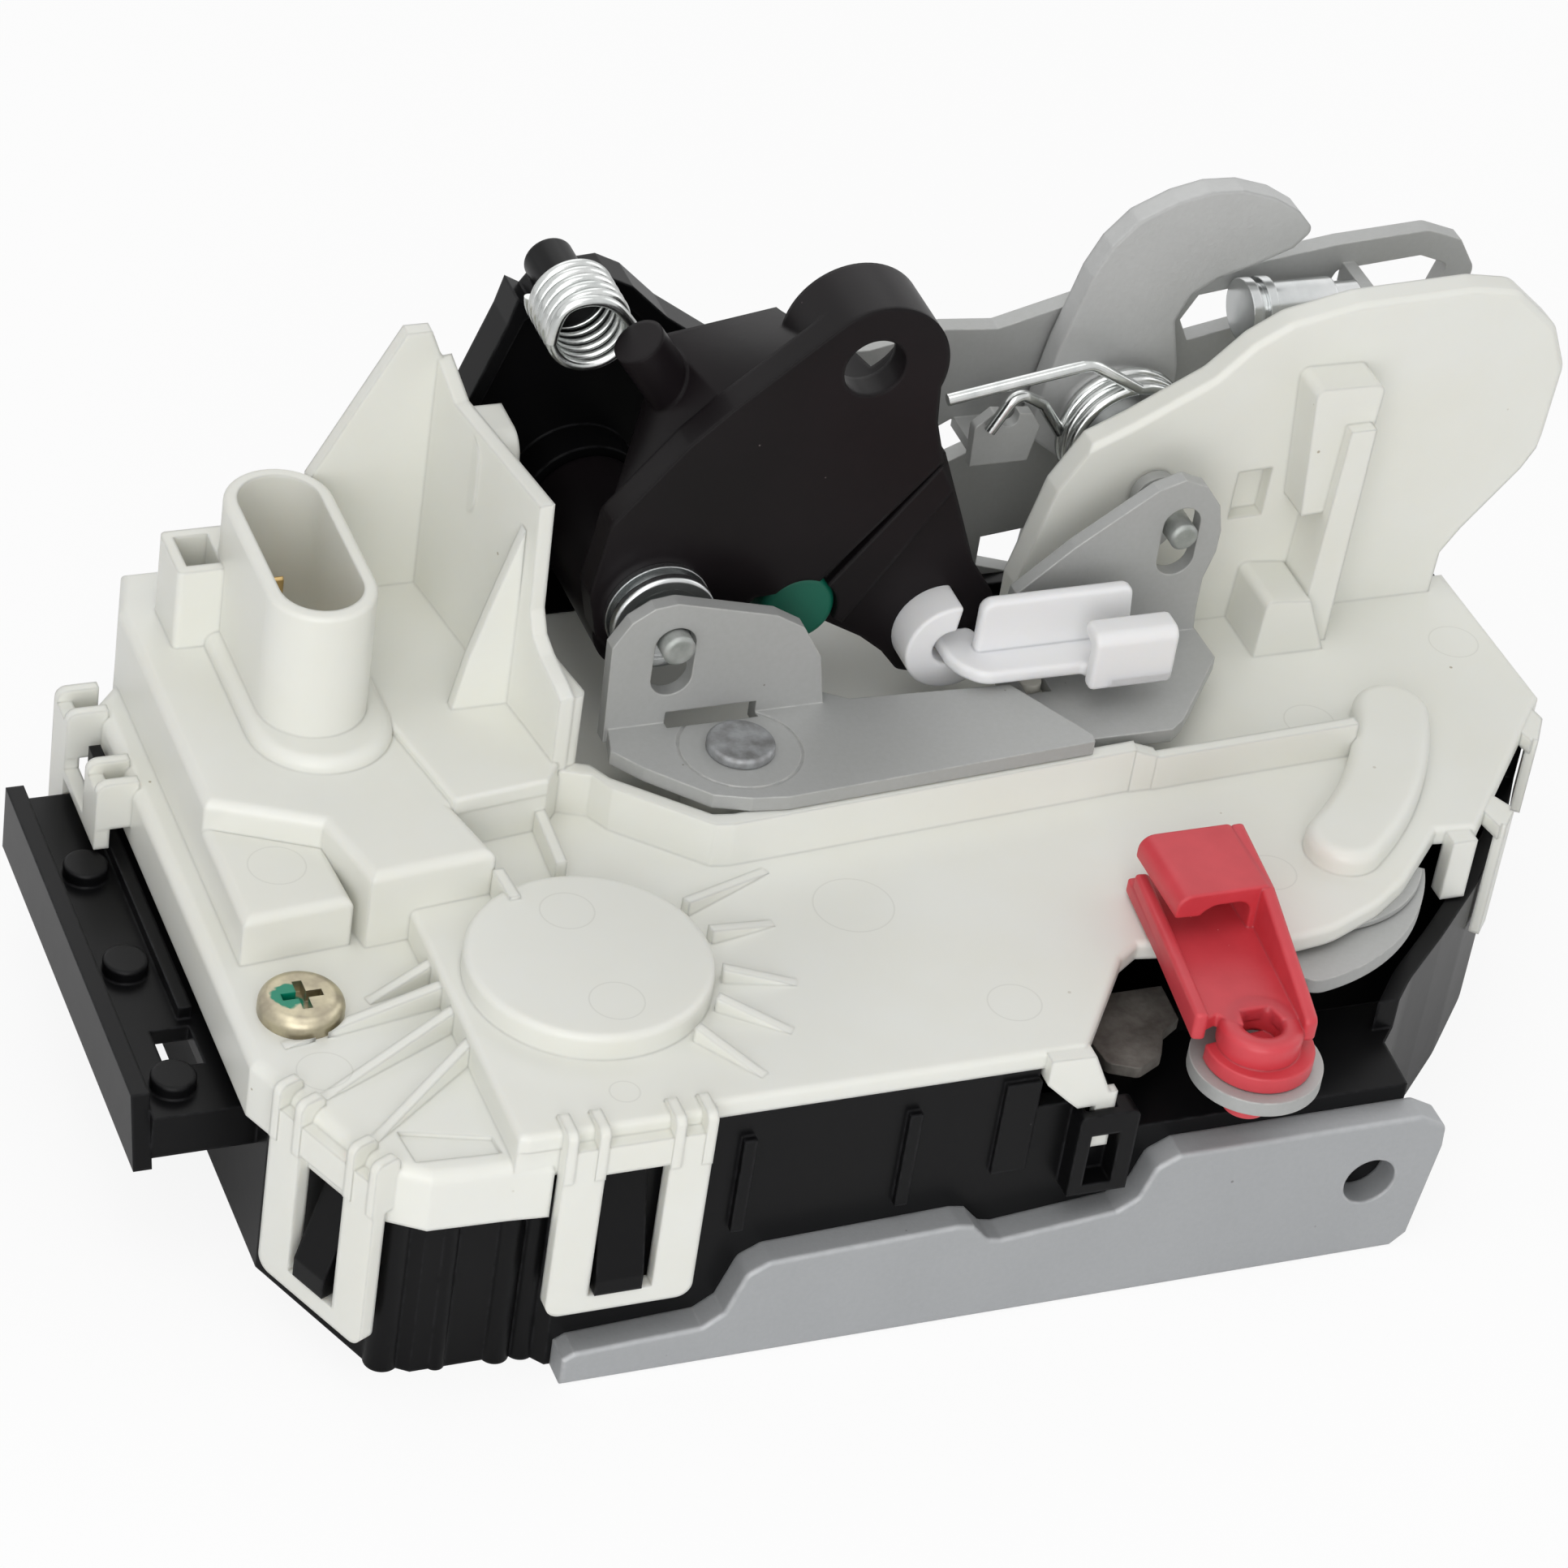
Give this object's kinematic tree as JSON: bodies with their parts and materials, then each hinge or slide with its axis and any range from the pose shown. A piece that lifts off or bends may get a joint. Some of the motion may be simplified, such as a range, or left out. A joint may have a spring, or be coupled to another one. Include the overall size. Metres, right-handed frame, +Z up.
{
  "type": "door latch actuator",
  "caption": "Vehicle door latch actuator with a moulded cover, connector, steel flange, hooked claw and turning levers.",
  "frame": {"origin": "centre of the bolt hole on the outer face of the steel flange", "axes": "+X along the long side, +Y to the back along the bolt hole, +Z up, out of the cover"},
  "size_m": [0.2026, 0.1162, 0.1006],
  "materials": {
    "natural_white": "natural moulded",
    "black_plastic": "satin moulded",
    "zinc_steel": "zinc plated",
    "lever_steel": "dull zinc, blanked",
    "yellow_zinc": "yellow passivated",
    "brass": "tinned brass",
    "dark_steel": "oiled",
    "bush_zinc": "turned",
    "green_rubber": "matte",
    "cast_steel": "sintered",
    "spring_steel": "drawn wire",
    "red_plastic": "moulded",
    "can_steel": "deep drawn",
    "gear_plastic": "acetal",
    "black_rubber": "matte"
  },
  "bodies": {
    "housing": {"white_cover": "natural_white", "black_housing": "black_plastic", "mounting_plate": "zinc_steel", "plate_screws": "zinc_steel", "cover_screw": "yellow_zinc", "connector_terminals": "brass", "pivot_shaft": "zinc_steel", "release_rivet": "zinc_steel", "lock_rivet": "zinc_steel", "crank_pivot": "zinc_steel", "stop_crescent": "lever_steel", "claw_stud": "zinc_steel", "loop_plate": "lever_steel", "stop_stud": "zinc_steel", "return_spring": "spring_steel", "claw_spring": "spring_steel", "key_post": "zinc_steel", "guide_plate": "zinc_steel", "latch_housing": "black_plastic", "back_screws": "zinc_steel", "motor_can": "can_steel", "wheel_post": "zinc_steel", "position_switch": "black_plastic", "end_stops": "black_rubber", "bus_bars": "brass"},
    "outside_lever": {"outside_lever": "black_plastic", "guide_pin": "dark_steel", "pivot_bush": "bush_zinc", "bumper_disc": "green_rubber"},
    "release_lever": {"release_lever": "lever_steel"},
    "lock_lever": {"lock_lever": "lever_steel"},
    "lock_crank": {"lock_crank": "lever_steel", "lock_pin": "dark_steel"},
    "claw": {"claw": "cast_steel"},
    "white_clip": {"white_rod_clip": "natural_white"},
    "red_clip": {"red_rod_clip": "red_plastic"},
    "key_lever": {"key_lever": "lever_steel"},
    "motor_rotor": {"motor_shaft": "zinc_steel", "worm": "brass"},
    "worm_wheel": {"worm_wheel": "gear_plastic"},
    "lock_slider": {"lock_slider": "gear_plastic"}
  },
  "joints": [
    {"name": "outside_lever_turn", "type": "hinge", "parent": "housing", "child": "outside_lever", "pos_m": [-0.0752, 0.084, 0.0444], "axis": [0, 1, 0], "range_deg": [-25, 0], "stiffness_Nm_per_rad": 0.06, "springref_deg": 34.38},
    {"name": "release_lever_turn", "type": "hinge", "parent": "housing", "child": "release_lever", "pos_m": [-0.0676, 0.0558, 0.0342], "axis": [0, 0, 1], "range_deg": [0, 9.8]},
    {"name": "white_clip_turn", "type": "hinge", "parent": "outside_lever", "child": "white_clip", "pos_m": [-0.0376, 0.07, 0.0372], "axis": [0, 1, 0], "range_deg": [-20, 0]},
    {"name": "worm_wheel_turn", "type": "hinge", "parent": "housing", "child": "worm_wheel", "pos_m": [-0.096, 0.0283, 0.006], "axis": [0, 0, 1], "range_deg": [0, 18.4]},
    {"name": "motor_turn", "type": "hinge", "parent": "housing", "child": "motor_rotor", "pos_m": [-0.08, 0.0431, 0.006], "axis": [1, 0, 0], "range_deg": [0, 552]},
    {"name": "lock_slide", "type": "slide", "parent": "housing", "child": "lock_slider", "axis": [1, 0, 0], "range_m": [-0.00142, 0]},
    {"name": "lock_lever_turn", "type": "hinge", "parent": "housing", "child": "lock_lever", "pos_m": [-0.03, 0.056, 0.0318], "axis": [0, 0, 1], "range_deg": [0, 9.02]},
    {"name": "lock_crank_turn", "type": "hinge", "parent": "housing", "child": "lock_crank", "pos_m": [-0.0041, 0.0788, 0.044], "axis": [0, 1, 0], "range_deg": [-32.5, 0]},
    {"name": "claw_turn", "type": "hinge", "parent": "housing", "child": "claw", "pos_m": [-0.0046, 0.0956, 0.0514], "axis": [0, 1, 0], "range_deg": [-35, 0], "stiffness_Nm_per_rad": 0.05, "springref_deg": 28.65},
    {"name": "key_lever_turn", "type": "hinge", "parent": "housing", "child": "key_lever", "pos_m": [-0.01, 0.046, 0.022], "axis": [0, 0, 1], "range_deg": [-8, 6]},
    {"name": "red_clip_turn", "type": "hinge", "parent": "key_lever", "child": "red_clip", "pos_m": [-0.0196, 0.001, 0.022], "axis": [0, 0, 1], "range_deg": [-10, 10]}
  ],
  "couplings": [
    {"joint": "release_lever_turn", "follows": "outside_lever_turn", "ratio": -0.39},
    {"joint": "motor_turn", "follows": "worm_wheel_turn", "ratio": 30},
    {"joint": "lock_slide", "follows": "worm_wheel_turn", "m_per_rad": -0.0044},
    {"joint": "lock_lever_turn", "follows": "worm_wheel_turn", "ratio": 0.49},
    {"joint": "lock_crank_turn", "follows": "worm_wheel_turn", "ratio": -1.76}
  ]
}
